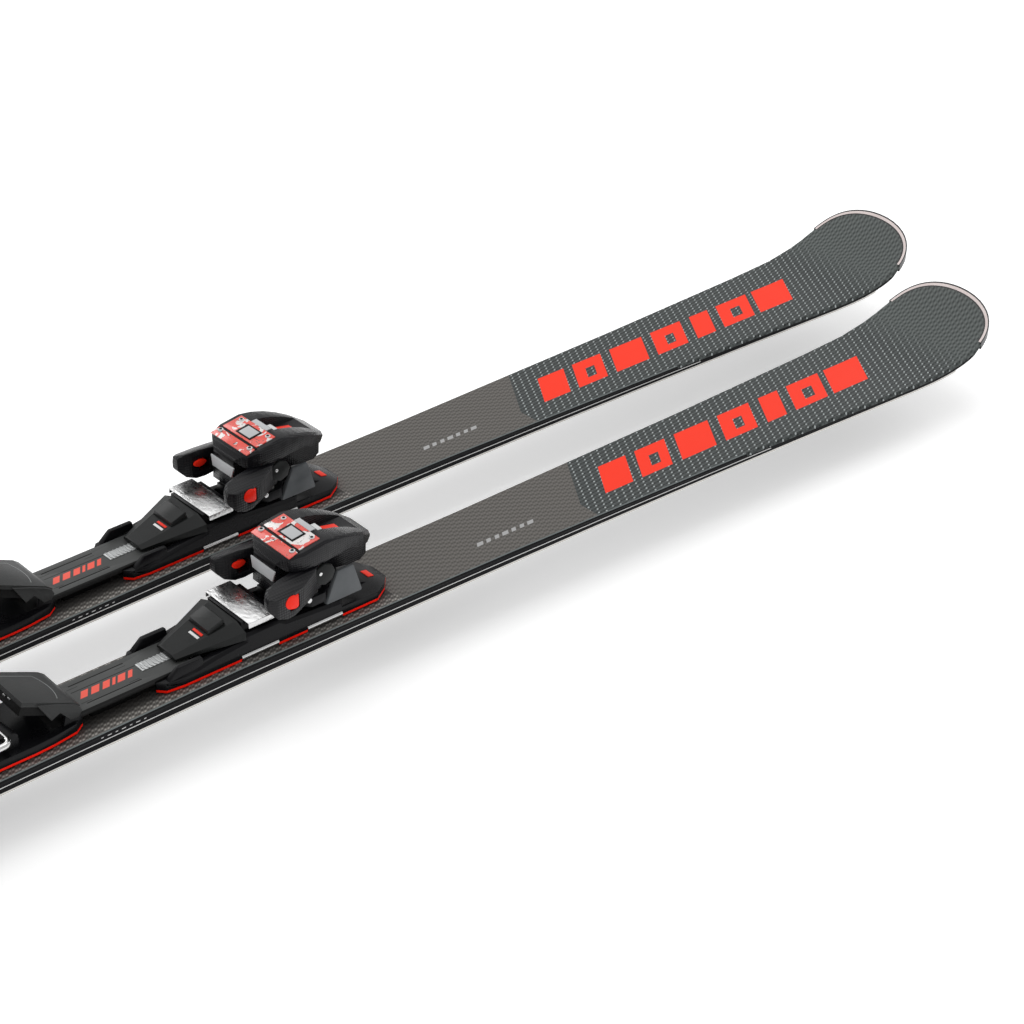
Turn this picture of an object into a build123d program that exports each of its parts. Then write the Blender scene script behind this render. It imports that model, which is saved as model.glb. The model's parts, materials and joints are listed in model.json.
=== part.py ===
from build123d import *
import math
import os

# A pair of alpine skis with system bindings, in millimetres.
#
# Every shape is first drawn in one ski's own frame: X runs along the ski to the tip with zero at the
# waist, Y runs to the left with zero on the centre line, and Z is up with zero on the running base.
# main() then sets each ski where it stands: side by side, on its open brakes, the left one ahead.

# ---- the pair ---------------------------------------------------------------------------------
SKI_GAP = 156.0            # between the two centre lines
LEFT_AHEAD = 67.5          # the left ski lies this far forward
LEFT_TURN = 0.92           # degrees by which its tip points outwards
SIDE_SHIFT = 7.3           # keeps the pair's footprint centred
LIFT = 50.0                # running base above the ground, held there by the open brake arms

# ---- the ski ----------------------------------------------------------------------------------
WAIST = 80.0
TIP_X = 909.0
TAIL_X = -831.0
FRONT_RADIUS = 15670.0     # sidecut ahead of the waist
REAR_RADIUS = 20500.0      # sidecut behind it
SHOULDER_X = 835.0         # widest place of the shovel
TAIL_SHOULDER_X = -795.0
TIP_POWERS = (4.67, 2.05)  # superellipse of the rounded tip
TAIL_POWERS = (3.0, 2.2)
RISE_X = 761.0             # the shovel starts to rise here
RISE_HEIGHT = 42.3
RISE_POWER = 3.3
TAIL_RISE_X = -770.0
TAIL_RISE_HEIGHT = 5.0
THICK_WAIST = 14.6
THICK_END = 7.2
BASE_THICK = 1.3
EDGE_WIDE = 2.0
EDGE_HIGH = 2.0
WALL_WIDE = 6.0            # side wall, across the ski
SHEET_THICK = 2.6          # top sheet with its laminate
BEVEL = 2.3                # sloping shoulder of the top sheet
EDGE_TAIL_X = -790.0
EDGE_TIP_X = 835.0
GUARD_WIDE = 4.5
TIP_GUARD_X = 872.0
TAIL_GUARD_X = -812.0

# ---- what both binding units share --------------------------------------------------------------
GAP = 0.3                  # between pieces that slide past each other
TRACK_WEB = 14.0           # half widths of the T track
TRACK_HALF = 18.5
TRACK_NECK_Z = 18.4        # underside of the track's flange
TRACK_TOP_Z = 20.9
LINER_Z = (15.0, 17.2)     # red strip under each unit
DECK_TOP_Z = 24.0
LINER_WIDE = 5.0
SCREW_Y = 8.0
SCREW_R = 2.5
SCREW_HEAD_R = 4.6
SCREW_END_Z = 4.0

# ---- centre band --------------------------------------------------------------------------------
BAND_X = (-140.0, -30.0)
BAND_HALF = 21.8
BAND_FOOT_X = (-122.0, -76.0)
BAND_FOOT_HALF = 16.0
BAND_Z = (22.0, 26.6)
BAND_SLOT_HALF = BAND_HALF + 0.8

# ---- toe unit -----------------------------------------------------------------------------------
TOE_OUTLINE = [(-70, 19), (-61, 29), (-45, 31), (146, 31), (160, 22), (171, 9)]
TOE_TRACK_X = (-52.0, 138.0)
TOE_SCREWS_X = (-20.0, 118.0)
ROD_SPANS = [(9, 46), (74, 110)]
ROD_R = 2.5
ROD_Y = 29.0
ROD_Z = 17.6
PLATE_X = (17.6, 42.4)     # gliding plate under the boot's toe
PLATE_HALF = 31.0
PLATE_Z = 46.5
PLATE_THICK = 1.1
PLATE_STEP = 5.0           # how far it slides each way
RAMP_X = (-42.0, 13.8)
BUTTON_X = (-10.0, 5.8)
BUTTON_HALF = 13.6
WING_PIN = (88.0, 23.0)
WING_PIN_R = 3.0
WING_Z = (45.0, 74.4)
WING_HUB_R = 6.0
ROLLER = (54.0, 39.3)
ROLLER_R = 6.2
ROLLER_Z = (53.0, 66.0)
RUN_FIT = 0.05             # radial clearance of a turning fit
TOE_AXIS_Z = 64.0          # release spring and its screw
SPRING_R = 7.0

# ---- heel unit ----------------------------------------------------------------------------------
HEEL_OUTLINE = [(-132, 21), (-143, 29), (-164, 32), (-180, 33), (-334, 33), (-346, 25)]
HEEL_TRACK_X = (-338.0, -168.0)
HEEL_SCREWS_X = (-176.0, -246.0)
HEEL_PIVOT = (-312.0, 40.0)
HEEL_PIVOT_R = 4.0
LEVER_PIVOT = (-322.0, 94.0)
LEVER_PIVOT_R = 3.0
PEDAL_PIVOT = (-143.0, 33.0)
PEDAL_PIVOT_R = 2.5
PEDAL_HALF = 26.3
WIRE_R = 2.75
WIRE_PIVOT = (-200.0, 34.0)
ARM_Y = 47.0


# ---- small helpers --------------------------------------------------------------------------------
def polygon(points):
    return Face(Wire.make_polygon([Vector(*p) for p in points], close=True))


def side_block(points, y0, y1):
    """A block whose outline is given in X and Z, between two places in Y."""
    face = polygon([(x, y0, z) for x, z in points])
    return Solid.extrude(face, Vector(0, y1 - y0, 0))


def plan_block(points, z0, z1):
    """A block whose outline is given in X and Y, between two heights."""
    face = polygon([(x, y, z0) for x, y in points])
    return Solid.extrude(face, Vector(0, 0, z1 - z0))


def box(x, y, z):
    return plan_block([(x[0], y[0]), (x[1], y[0]), (x[1], y[1]), (x[0], y[1])], z[0], z[1])


def both_sides(half):
    """A closed outline from its left half, listed from tail to tip or tip to tail."""
    return half + [(x, -y) for x, y in reversed(half)]


def rod(start, end, radius):
    a = Vector(*start)
    b = Vector(*end)
    return Solid.make_cylinder(radius, (b - a).length, Plane(origin=a, z_dir=b - a))


def flip(shape):
    return shape.mirror(Plane.XZ)


def solids_in(*shapes):
    found = []
    for shape in shapes:
        found.extend(shape if isinstance(shape, (list, ShapeList)) else [shape])
    return [solid for shape in found for solid in shape.solids()]


# ---- the ski's lines ------------------------------------------------------------------------------
def half_width(x):
    radius = FRONT_RADIUS if x >= 0 else REAR_RADIUS
    return WAIST / 2 + x * x / (2 * radius)


def base_z(x):
    if x > RISE_X:
        return RISE_HEIGHT * ((x - RISE_X) / (TIP_X - RISE_X)) ** RISE_POWER
    if x < TAIL_RISE_X:
        return TAIL_RISE_HEIGHT * ((TAIL_RISE_X - x) / (TAIL_RISE_X - TAIL_X)) ** 2
    return 0.0


def thickness(x):
    far = RISE_X if x >= 0 else -TAIL_RISE_X
    share = min(abs(x) / far, 1.0)
    return THICK_WAIST + (THICK_END - THICK_WAIST) * share


def top_z(x):
    return base_z(x) + thickness(x)


def end_curve(shoulder, end, powers, inset):
    """Points round one end, from its left shoulder to its right one."""
    wide = half_width(shoulder) - inset
    long = abs(end - shoulder) - inset
    way = 1 if end > shoulder else -1
    points = []
    for step in range(0, 9):
        angle = math.pi / 2 * step / 8
        out = math.sin(angle) ** (2 / powers[0])
        across = math.cos(angle) ** (2 / powers[1])
        points.append((shoulder + way * long * out, wide * across))
    points[-1] = (shoulder + way * long, 0)
    return points + [(x, -y) for x, y in reversed(points[:-1])]


def outline(inset, z0=-10.0, z1=90.0):
    """The ski's plan, made smaller all round by the inset, as a tall prism."""
    tip = end_curve(SHOULDER_X, TIP_X, TIP_POWERS, inset)
    tail = end_curve(TAIL_SHOULDER_X, TAIL_X, TAIL_POWERS, inset)
    stations = [TAIL_SHOULDER_X, -560, -280, 0, 280, 560, SHOULDER_X]
    left = [(x, half_width(x) - inset) for x in stations]
    right = [(x, -y) for x, y in left]
    front_slope = Vector(1, SHOULDER_X / FRONT_RADIUS, 0)
    rear_slope = Vector(1, TAIL_SHOULDER_X / REAR_RADIUS, 0)
    edges = [
        Edge.make_spline([Vector(x, y, z0) for x, y in left]),
        Edge.make_spline([Vector(x, y, z0) for x, y in tip],
                         tangents=[front_slope, Vector(-1, front_slope.Y, 0)]),
        Edge.make_spline([Vector(x, y, z0) for x, y in reversed(right)]),
        Edge.make_spline([Vector(x, y, z0) for x, y in reversed(tail)],
                         tangents=[Vector(-1, rear_slope.Y, 0), Vector(1, rear_slope.Y, 0)]),
    ]
    return Solid.extrude(Face(Wire(edges)), Vector(0, 0, z1 - z0))


def long_line(height, y):
    """Edges along the ski, tail to tip, at the height that a function gives."""
    ends = 3.0
    rise = [RISE_X + (TIP_X + ends - RISE_X) * s / 8 for s in range(9)]
    tail = [TAIL_X - ends + (TAIL_RISE_X - TAIL_X + ends) * s / 4 for s in range(5)]
    point = lambda x: Vector(x, y, height(x))
    slope = lambda x: Vector(2, 0, height(x + 1) - height(x - 1))
    return [
        Edge.make_spline([point(x) for x in tail], tangents=[slope(tail[0]), slope(tail[-1] + 2)]),
        Edge.make_line(point(tail[-1]), point(0)),
        Edge.make_line(point(0), point(rise[0])),
        Edge.make_spline([point(x) for x in rise], tangents=[slope(rise[0] - 2), slope(rise[-1])]),
    ]


def layer(low, high):
    """Everything between two long lines, wider than the ski."""
    y = -90.0
    lower = long_line(low, y)
    upper = long_line(high, y)
    ends = [Edge.make_line(lower[-1] @ 1, upper[-1] @ 1), Edge.make_line(lower[0] @ 0, upper[0] @ 0)]
    return Solid.extrude(Face(Wire(lower + upper + ends)), Vector(0, -2 * y, 0))


def beyond(x0, x1):
    return box((x0, x1), (-90, 90), (-20, 100))


def outline_half(x):
    """Half width at any place, the rounded shovel included."""
    if x <= SHOULDER_X:
        return half_width(x)
    share = (x - SHOULDER_X) / (TIP_X - SHOULDER_X)
    return half_width(SHOULDER_X) * (1 - share ** TIP_POWERS[0]) ** (1 / TIP_POWERS[1])


def shoulder_cutter():
    """What is cut off to slope the left shoulder of the top sheet, lofted along the ski."""
    over = 0.5
    sections = []
    stations = (TAIL_GUARD_X - 2, -760, -560, -280, -2, 2, 280, 560, 740, 800, SHOULDER_X, 855,
                TIP_GUARD_X + 2)
    for x in stations:
        w = outline_half(x)
        z = top_z(x)
        corners = [(w - BEVEL - over, z + over), (w + over, z - BEVEL - over),
                   (w + 4, z - BEVEL - over), (w + 4, z + over)]
        sections.append(Wire.make_polygon([Vector(x, y, h) for y, h in corners], close=True))
    return Solid.make_loft(sections, ruled=True)


def screw_places():
    return [(x, y) for x in TOE_SCREWS_X + HEEL_SCREWS_X for y in (-SCREW_Y, SCREW_Y)]


def screw_holes():
    return [rod((x, y, SCREW_END_Z), (x, y, TRACK_TOP_Z + 1), SCREW_R) for x, y in screw_places()]


# ---- ski pieces -----------------------------------------------------------------------------------
def ski_pieces():
    whole = outline(0)
    guard_zone = beyond(TIP_GUARD_X, TIP_X + 9), beyond(TAIL_X - 9, TAIL_GUARD_X)
    ring = whole - outline(GUARD_WIDE)
    guards = solids_in(*[ring & zone & layer(base_z, top_z) for zone in guard_zone])
    body = whole - Compound(guards)

    base = layer(base_z, lambda x: base_z(x) + BASE_THICK) & outline(EDGE_WIDE) & body
    edge_ring = (whole - outline(EDGE_WIDE)) & beyond(EDGE_TAIL_X, EDGE_TIP_X)
    edges = layer(base_z, lambda x: base_z(x) + EDGE_HIGH) & edge_ring
    sheet_low = lambda x: top_z(x) - SHEET_THICK
    core = layer(lambda x: base_z(x) + EDGE_HIGH, sheet_low) & outline(WALL_WIDE) & body
    wall_ring = (whole - outline(WALL_WIDE)) & beyond(EDGE_TAIL_X, EDGE_TIP_X)
    walls = layer(lambda x: base_z(x) + EDGE_HIGH, sheet_low) & wall_ring
    sheet = solids_in(layer(sheet_low, top_z) & whole)[0]
    cutter = shoulder_cutter()
    sheet = (sheet & body) - cutter - flip(cutter)
    holes = screw_holes()
    for hole in holes:
        sheet = sheet - hole
        core = core - hole
    return {
        "core": [core],
        "running_base": [base],
        "steel_edges": [edges],
        "side_walls": [walls],
        "top_sheet": [sheet],
        "end_guards": guards,
    }


def track(span):
    flange = box(span, (-TRACK_HALF, TRACK_HALF), (TRACK_NECK_Z, TRACK_TOP_Z))
    web = box(span, (-TRACK_WEB, TRACK_WEB), (5, TRACK_NECK_Z + 0.5))
    return flange + (web - layer(base_z, top_z))


def track_slot(span):
    """Room that a unit leaves for its track, closed round the flange."""
    wide = box(span, (-TRACK_HALF - GAP, TRACK_HALF + GAP), (TRACK_NECK_Z - GAP, TRACK_TOP_Z + GAP))
    return wide + box(span, (-TRACK_WEB - GAP, TRACK_WEB + GAP), (0, TRACK_NECK_Z))


def track_screw(x, y):
    shaft = rod((x, y, SCREW_END_Z), (x, y, TRACK_TOP_Z - 1), SCREW_R)
    head = Solid.make_cone(SCREW_R, SCREW_HEAD_R, 2.2, Plane(origin=(x, y, TRACK_TOP_Z - 2.2)))
    slot = box((x - 3, x + 3), (y - 0.5, y + 0.5), (TRACK_TOP_Z - 1, TRACK_TOP_Z + 1))
    return shaft + head - slot


def binding_tracks():
    tracks = []
    for span in (TOE_TRACK_X, HEEL_TRACK_X):
        rail = track(span)
        for x, y in screw_places():
            rail = rail - rod((x, y, 0), (x, y, TRACK_TOP_Z), SCREW_R)
            rail = rail - Solid.make_cone(SCREW_R, SCREW_HEAD_R, 2.2,
                                          Plane(origin=(x, y, TRACK_TOP_Z - 2.2)))
        tracks.append(rail)
    return tracks


def centre_band():
    plate = box(BAND_X, (-BAND_HALF, BAND_HALF), BAND_Z)
    plate = plate.chamfer(1.4, 1.4, plate.edges().filter_by(Axis.X).group_by(Axis.Z)[-1])
    foot = box(BAND_FOOT_X, (-BAND_FOOT_HALF, BAND_FOOT_HALF), (5, BAND_Z[0] + 0.5))
    groove = lambda y: box((-124, -74), (y - 0.5, y + 0.5), (BAND_Z[1] - 0.8, BAND_Z[1] + 1))
    return plate + (foot - layer(base_z, top_z)) - groove(-14) - groove(14)


# ---- toe unit pieces ------------------------------------------------------------------------------
def notches(z0, z1, inner):
    """Where the rods show through the rim."""
    cuts = []
    for x0, x1 in ROD_SPANS:
        for side in (-1, 1):
            cuts.append(box((x0, x1), sorted((side * inner, side * 34)), (z0, z1)))
    return cuts


def strip(half_outline, ends):
    """A red strip that follows the rim of a unit, open where the centre band passes."""
    whole = plan_block(both_sides(half_outline), *LINER_Z)
    inside = [(x, max(y - LINER_WIDE, 0.5)) for x, y in half_outline]
    return whole - plan_block(both_sides(inside), LINER_Z[0] - 1, LINER_Z[1] + 1) - ends


def toe_liner():
    band_gap = box((-80, -50), (-BAND_SLOT_HALF, BAND_SLOT_HALF), (0, 30))
    nose_gap = box(TOE_TRACK_X, (-TRACK_HALF - 1, TRACK_HALF + 1), (0, 30))
    shape = strip(TOE_OUTLINE, band_gap) - nose_gap
    for cut in notches(LINER_Z[0] - 1, LINER_Z[1] + 1, 20):
        shape = shape - cut
    return [shape]


def toe_rods():
    return [rod((x0 + 0.5, side * ROD_Y, ROD_Z), (x1 - 0.5, side * ROD_Y, ROD_Z), ROD_R)
            for x0, x1 in ROD_SPANS for side in (-1, 1)]


def toe_base():
    deck = plan_block(both_sides(TOE_OUTLINE), LINER_Z[1], DECK_TOP_Z)
    nose_cut = side_block([(120, 30), (130, 24.0), (154, 22.8), (163, 20.8), (172, 17.9), (180, 30)], -40, 40)
    deck = deck - nose_cut
    cheek_line = [(-60, 22), (-56, 24), (-36, 26), (-14, 29.6), (13.9, 32.4), (14.2, 38), (48, 38),
                  (54, 34), (110, 30), (112, 22)]
    cheek = side_block(cheek_line, BAND_SLOT_HALF, 31)
    cheek = cheek.chamfer(2.5, 2.5, [e for e in cheek.edges().filter_by(Plane.XZ)
                                     if e.center().Y > 30 and e.center().Z > 23])
    rest = box((15, 47), (-24, 24), (DECK_TOP_Z - 1, PLATE_Z - GAP))
    rest = rest - box((27.5, 32.5), (-14.5, 14.5), (PLATE_Z - 3, PLATE_Z + 1))
    column = box((60, 118), (-19, 19), (DECK_TOP_Z - 1, 42)) + box((62, 116), (-16, 16), (41, 52))
    ear = plan_block(both_sides([(74, 24), (80, 30), (94, 30), (102, 22)]), 36, WING_Z[0] - GAP)
    ridge = box((116, 150), (-12, 12), (22, 27))
    ridge = ridge.chamfer(4.5, 12, ridge.edges().filter_by(Axis.Y).group_by(Axis.Z)[-1].sort_by(Axis.X)[-1:])
    shape = deck + cheek + flip(cheek) + rest + column + ear + ridge
    shape = shape - box((-80, -16), (-BAND_SLOT_HALF, BAND_SLOT_HALF), (10, BAND_Z[1] + GAP))
    shape = shape - track_slot((-80, TOE_TRACK_X[1] + 14))
    for cut in notches(ROD_Z - 3, ROD_Z + ROD_R + 0.2, 26):
        shape = shape - cut
    for side in (-1, 1):
        x, y = WING_PIN[0], side * WING_PIN[1]
        shape = shape - rod((x, y, 38), (x, y, 60), WING_PIN_R)
    return [shape]


def ramp_cover():
    front = [(-32, 34), (-32, 41.2), (-19, 46.2), (19, 46.2), (32, 41.2), (32, 34)]
    rear = [(-13.5, 28.2), (-13.5, 30), (-9, 31.6), (9, 31.6), (13.5, 30), (13.5, 28.2)]
    wires = [Wire.make_polygon([Vector(x, y, z) for y, z in line], close=True)
             for x, line in ((RAMP_X[0], rear), (RAMP_X[1], front))]
    wedge = Solid.make_loft(wires, ruled=True)
    well = box((BUTTON_X[0] - GAP, BUTTON_X[1] + GAP), (-BUTTON_HALF - GAP, BUTTON_HALF + GAP), (20, 60))
    return [wedge - well]


def lock_button():
    line = [(BUTTON_X[0], 37), (BUTTON_X[0], 43.6), (BUTTON_X[1] - 1.5, 48.7), (BUTTON_X[1], 47.6),
            (BUTTON_X[1], 37)]
    button = side_block(line, -BUTTON_HALF, BUTTON_HALF)
    return [button.fillet(1.2, button.edges().filter_by(Axis.Z))]


def gliding_plate():
    plate = box(PLATE_X, (-PLATE_HALF, PLATE_HALF), (PLATE_Z, PLATE_Z + PLATE_THICK))
    lip = lambda y: box(PLATE_X, sorted((y, y - math.copysign(1.2, y))), (PLATE_Z - 4, PLATE_Z + 0.5))
    key = box((28, 32), (-8, 8), (PLATE_Z - 2.5, PLATE_Z + 0.5))
    return [plate + lip(PLATE_HALF) + lip(-PLATE_HALF) + key]


def toe_housing():
    hood_line = [(61, 75), (56.5, 80), (62, 87.8), (71.6, 90.3), (94.6, 93.5), (106, 92.5), (118, 89.5),
                 (130, 85), (142, 79), (152, 73), (152, 69), (147, 66.5), (132, 70), (124, 75)]
    hood = side_block(hood_line, -33, 33)
    plan = [(56.5, 15), (63.5, 27), (74, 31.5), (94, 31.5), (120, 28), (140, 23), (152, 15)]
    hood = hood & plan_block(both_sides(plan), 60, 110)
    roof_edges = [e for e in hood.edges() if e.center().Z > 75.5 and abs(e.center().Y) > 15
                  and e.center().X > 62 and abs((e % 0.5).Z) < 0.6]
    hood = hood.chamfer(2.2, 2.2, roof_edges)
    hood = hood - box((102, 141), (-12.5, 12.5), (79, 110))
    core_line = [(54, 52), (56, 76), (146, 76), (148, 72), (147, 54), (141, 50), (128, 50), (118, 52)]
    core = side_block(core_line, -15, 15)
    shape = hood + core
    shape = shape - rod((58, 0, TOE_AXIS_Z), (110, 0, TOE_AXIS_Z), SPRING_R + 1.2)
    shape = shape - rod((109, 0, TOE_AXIS_Z), (150, 0, TOE_AXIS_Z), 3.0 + RUN_FIT)
    shape = shape - rod((124, 0, TOE_AXIS_Z), (150, 0, TOE_AXIS_Z), 6.5)
    for side in (-1, 1):
        x, y = WING_PIN[0], side * WING_PIN[1]
        shape = shape - rod((x, y, 70), (x, y, 82), WING_PIN_R)
    return [shape]


def wing():
    """The left wing; the right one is its mirror image."""
    px, py = WING_PIN
    rx, ry = ROLLER
    top = WING_Z[1]
    plan = [(px, py - WING_HUB_R), (74, 20), (62, 25.5), (45, 29.5), (36, 31.5), (31, 35), (30, 41),
            (37, 45.5), (52, 45), (66, 42), (80, 35.5), (px + 2.4, py + 5.5)]
    line = [(29, 61), (31.5, 69.4), (36, 72.5), (50, top), (99, top), (99, 52), (80, 52), (66, 51),
            (54, 47.5), (46, 47), (37, 50.5), (32, 56)]
    slope = [(29, top), (60, top - 12.4), (60, top + 16), (29, top + 16)]
    blade = plan_block(plan, *WING_Z) & side_block(line, 0, 60)
    blade = blade - Solid.extrude(polygon([(20, y, z) for y, z in slope]), Vector(90, 0, 0))
    blade = blade + rod((px, py, 50), (px, py, top), WING_HUB_R)
    seat = rod((rx, ry, ROLLER_Z[0]), (rx, ry, ROLLER_Z[1]), ROLLER_R)
    window = box((rx - 5.4, rx + 5.4), (ry - 14, ry + 10), ROLLER_Z)
    return blade - seat - window - rod((px, py, 40), (px, py, 80), WING_PIN_R + RUN_FIT)


def roller():
    x, y = ROLLER
    shape = rod((x, y, ROLLER_Z[0]), (x, y, ROLLER_Z[1]), ROLLER_R)
    return shape.chamfer(1.5, 1.5, shape.edges().filter_by(GeomType.CIRCLE))


def wing_pins():
    return [rod((WING_PIN[0], side * WING_PIN[1], 38), (WING_PIN[0], side * WING_PIN[1], 82), WING_PIN_R)
            for side in (-1, 1)]


def ribbed_spring(start, end, radius, turns):
    """A compression spring, drawn as a tube with one rib for each turn."""
    length = (Vector(*end) - Vector(*start)).length
    pitch = length / turns
    inner = radius - 3.0
    points = [(inner, 0)]
    for turn in range(turns):
        low = turn * pitch
        points += [(radius, low), (radius, low + pitch * 0.55), (radius - 1.2, low + pitch * 0.55),
                   (radius - 1.2, low + pitch)]
    points += [(inner, length)]
    face = polygon([(r, 0, h) for r, h in points])
    tube = Solid.revolve(face, 360, Axis.Z)
    return tube.moved(Plane(origin=start, z_dir=Vector(*end) - Vector(*start)).location)


def toe_screw():
    z = TOE_AXIS_Z
    shaft = rod((109, 0, z), (126, 0, z), 3.0)
    head = rod((124.5, 0, z), (130, 0, z), 6.0)
    slot = box((128.5, 131), (-1.0, 1.0), (z - 7, z + 7))
    return [shaft + head - slot]


# ---- heel unit pieces -----------------------------------------------------------------------------
def heel_liner():
    band_gap = box((-160, -120), (-BAND_SLOT_HALF, BAND_SLOT_HALF), (0, 30))
    return [strip(HEEL_OUTLINE, band_gap) - box(HEEL_TRACK_X, (-19.5, 19.5), (0, 30))]


def heel_base():
    deck = plan_block(both_sides(HEEL_OUTLINE), LINER_Z[1], DECK_TOP_Z)
    front_gap = box((-160, -120), (-BAND_SLOT_HALF, BAND_SLOT_HALF), (10, 60))
    post_line = [(-152, 23), (-149, 33), (-146, 35.8), (-140, 35.8), (-137, 31), (-135, 23)]
    post = side_block(post_line, BAND_SLOT_HALF, 25.5)
    block = box((-211, -190), (-24, 24), (DECK_TOP_Z - 1, 36.6))
    block = block.chamfer(3, 3, block.edges().filter_by(Axis.Y).group_by(Axis.Z)[-1])
    cheek_line = [(-268, 23), (-276, 40), (-298, 50), (-322, 50), (-336, 36), (-342, 23)]
    cheek = side_block(cheek_line, 25, 33)
    cheek = cheek.chamfer(2.5, 2.5, [e for e in cheek.edges().filter_by(Plane.XZ)
                                     if e.center().Y > 30 and e.center().Z > 24])
    shape = deck + block + cheek + flip(cheek) + post + flip(post) - front_gap
    shape = shape - track_slot((-360, HEEL_TRACK_X[1] + 12))
    shape = shape - rod((WIRE_PIVOT[0], -40, WIRE_PIVOT[1]), (WIRE_PIVOT[0], 40, WIRE_PIVOT[1]),
                        WIRE_R + RUN_FIT)
    shape = shape - rod((HEEL_PIVOT[0], -40, HEEL_PIVOT[1]), (HEEL_PIVOT[0], 40, HEEL_PIVOT[1]),
                        HEEL_PIVOT_R + RUN_FIT)
    shape = shape - rod((PEDAL_PIVOT[0], -40, PEDAL_PIVOT[1]), (PEDAL_PIVOT[0], 40, PEDAL_PIVOT[1]),
                        PEDAL_PIVOT_R + RUN_FIT)
    return [shape]


def heel_housing():
    line = [(-238, 43.5), (-238, 47.5), (-268, 48.5), (-268, 78), (-246, 79), (-248, 84), (-266, 94),
            (-284, 110), (-300, 112), (-318, 108), (-334, 96), (-338, 72), (-330, 52), (-322, 33),
            (-312, 28), (-302, 33), (-292, 43.5)]
    body = side_block(line, -30, 30)
    low = side_block([(-345, 20), (-262, 20), (-262, 52), (-300, 52), (-318, 62), (-345, 86)], 24.5, 40)
    body = body - low - flip(low)
    body = body - box((-262, -230), (20, 40), (20, 52)) - box((-262, -230), (-40, -20), (20, 52))
    cup = Solid.make_cylinder(37, 30, Plane(origin=(-228, 0, 48.2)))
    body = body - cup
    lip_cut = Solid.make_cylinder(24, 40, Plane(origin=(-228, 0, 76)))
    body = body - lip_cut
    edges = [e for e in body.edges().filter_by(Plane.XZ) if e.center().Z > 80 and abs(e.center().Y) > 29]
    body = body.chamfer(4, 4, edges)
    slot = box((-360, -308), (-16.6, 16.6), (84, 120))
    hub_room = rod((LEVER_PIVOT[0], -16.6, LEVER_PIVOT[1]), (LEVER_PIVOT[0], 16.6, LEVER_PIVOT[1]), 10)
    body = body - slot - hub_room
    body = body - rod((LEVER_PIVOT[0], -24, LEVER_PIVOT[1]), (LEVER_PIVOT[0], 24, LEVER_PIVOT[1]),
                      LEVER_PIVOT_R + RUN_FIT)
    body = body - rod((-290, 0, 54), (-290, 0, 88), SPRING_R + 1.2)
    body = body + rod((HEEL_PIVOT[0], -32.7, HEEL_PIVOT[1]), (HEEL_PIVOT[0], 32.7, HEEL_PIVOT[1]),
                      HEEL_PIVOT_R)
    return [body]


def heel_lever():
    px, pz = LEVER_PIVOT
    line = [(px + 4, pz + 6), (px - 10, pz + 9), (-360, 108), (-388, 117), (-394, 114), (-390, 108),
            (-362, 98), (px - 16, pz - 3), (px - 6, pz - 6), (px + 4, pz - 5)]
    arm = side_block(line, -16, 16)
    arm = arm.chamfer(1.5, 1.5, [e for e in arm.edges().filter_by(Plane.XZ) if e.center().X < -335])
    pin = rod((px, -23.7, pz), (px, 23.7, pz), LEVER_PIVOT_R)
    return [arm + pin]


def brake_pedal():
    top = [(-134.5, 34), (-137, 38.5), (-142, 42.5), (-157, 49.5), (-174, 57), (-184.5, 62)]
    under = [(-186, 58.5), (-175, 53.5), (-158, 46), (-144, 38.6)]
    plate = side_block(top + under, -PEDAL_HALF, PEDAL_HALF)
    skirt_line = [(-136.4, 34), (-138, 38), (-142.5, 41.6), (-157, 48.3), (-173, 54.5), (-163, 36.5),
                  (-155, 40), (-150, 34), (-146.5, 29.6), (-139.5, 29.6)]
    skirt = side_block(skirt_line, 25.8, 28.6)
    pin = rod((PEDAL_PIVOT[0], 22.8, PEDAL_PIVOT[1]), (PEDAL_PIVOT[0], 26.5, PEDAL_PIVOT[1]), PEDAL_PIVOT_R)
    plate = plate - box((-150, -130), (-28, 28), (20, 37.0))
    shape = plate + skirt + flip(skirt) + pin + flip(pin)
    return [shape]


def brake_arm(side):
    """One wire arm, from its pivot in the heel base to the ground, and the foot moulded on its end."""
    x, z = WIRE_PIVOT
    path = FilletPolyline((x, side * 10, z), (x, side * 30.5, z), (x - 28, side * 30.5, z - 0.5),
                          (x - 52, side * ARM_Y, z - 12), (x - 76, side * ARM_Y, -38), radius=6.0)
    start = Plane(origin=path @ 0, z_dir=path % 0)
    wire = sweep(start * Circle(WIRE_R), path=path)
    top = Vector(x - 66, side * ARM_Y, -20)
    tip = Vector(x - 84, side * ARM_Y, -54)
    foot = Solid.make_cone(5.0, 7.5, (tip - top).length, Plane(origin=top, z_dir=tip - top))
    foot = foot & box((x - 110, x - 40), sorted((side * (ARM_Y - 3.6), side * (ARM_Y + 6))), (-LIFT, 0))
    return [solids_in(wire)[0] - solids_in(foot)[0], solids_in(foot)[0]]


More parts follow.
